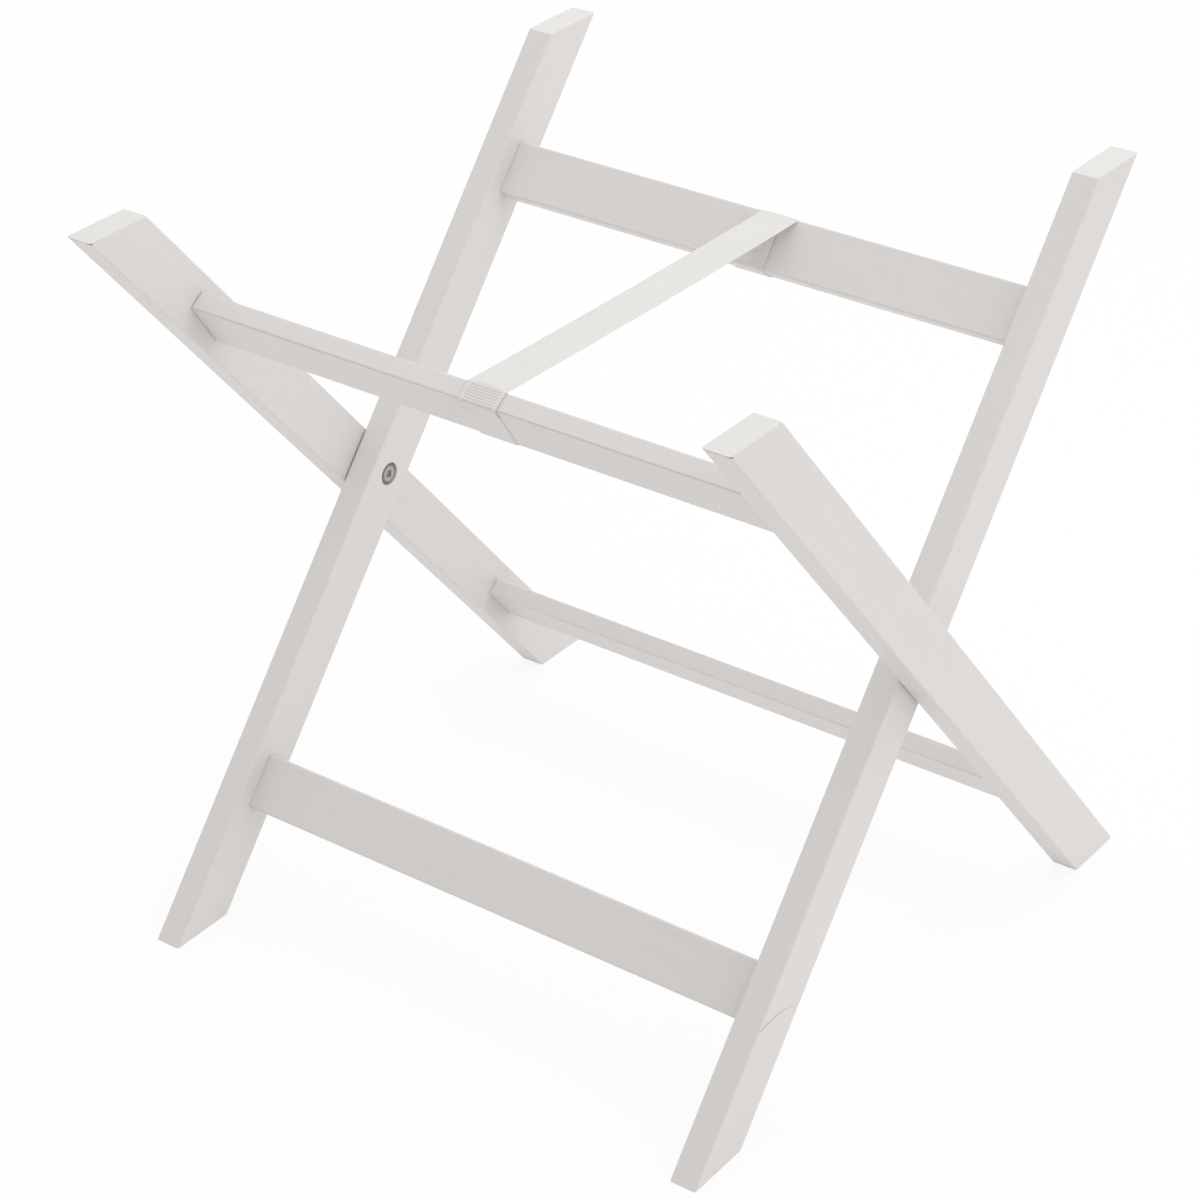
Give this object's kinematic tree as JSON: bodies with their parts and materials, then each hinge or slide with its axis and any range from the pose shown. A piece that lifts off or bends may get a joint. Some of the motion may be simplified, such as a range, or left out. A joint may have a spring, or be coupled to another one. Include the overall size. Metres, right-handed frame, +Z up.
{
  "type": "folding bassinet stand",
  "caption": "Folding X-frame stand of crossed painted board frames with pivot bolts and a webbing strap that stops it opening.",
  "frame": {"origin": "on the floor under the pivots, midway between the outer legs", "axes": "+X to the right along the rails, +Y to the back, +Z up"},
  "size_m": [0.505, 0.502, 0.536],
  "materials": {
    "painted_wood": "satin paint",
    "steel": "zinc plated, satin",
    "nylon": "matt",
    "zinc_alloy": "cast zinc alloy",
    "beech": "bare",
    "webbing": "woven cotton tape"
  },
  "bodies": {
    "outer_frame": {"outer_left_leg": "painted_wood", "outer_right_leg": "painted_wood", "outer_upper_rail": "painted_wood", "outer_lower_rail": "painted_wood", "outer_upper_dowels": "beech", "outer_lower_dowels": "beech", "left_pivot_bolt": "steel", "right_pivot_bolt": "steel", "left_pivot_washer": "nylon", "right_pivot_washer": "nylon", "left_threaded_insert": "zinc_alloy", "right_threaded_insert": "zinc_alloy", "strap": "webbing"},
    "inner_frame": {"inner_left_leg": "painted_wood", "inner_right_leg": "painted_wood", "inner_upper_rail": "painted_wood", "inner_lower_rail": "painted_wood", "inner_upper_dowels": "beech", "inner_lower_dowels": "beech"}
  },
  "joints": [
    {"name": "fold", "type": "hinge", "parent": "outer_frame", "child": "inner_frame", "pos_m": [0, 0, 0.268], "axis": [1, 0, 0], "range_deg": [0, 72.5], "deforming": ["strap"]}
  ]
}
